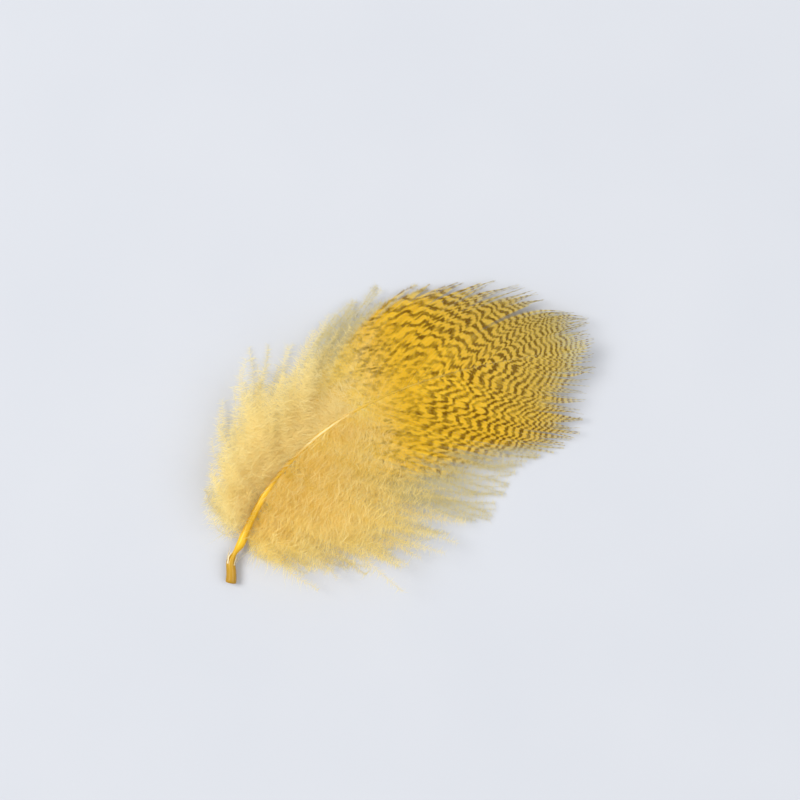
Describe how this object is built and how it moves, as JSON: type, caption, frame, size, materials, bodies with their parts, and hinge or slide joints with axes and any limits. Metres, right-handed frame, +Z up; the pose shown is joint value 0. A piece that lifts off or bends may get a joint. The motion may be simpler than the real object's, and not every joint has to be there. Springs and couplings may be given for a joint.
{
  "type": "duck flank feather",
  "caption": "Curved barred feather lying flat: a tapering shaft with a bare quill, barred vanes that part into locks at the edge, and loose downy locks at the base.",
  "frame": {"origin": "on the surface that the feather lies on, under the middle of its box", "axes": "+X from the quill's end towards the tip, +Y to the feather's left, +Z up, away from the surface"},
  "size_m": [0.0742, 0.0476, 0.0091],
  "materials": {
    "shaft": "horn-like keratin, satin, amber at the quill",
    "vane": "golden yellow barbs with fine dark brown bars, soft sheen",
    "down": "pale yellow loose down, matt"
  },
  "bodies": {
    "root": {"shaft": "shaft", "left_vane": "vane", "right_vane": "vane", "left_down": "down", "right_down": "down"}
  },
  "joints": []
}
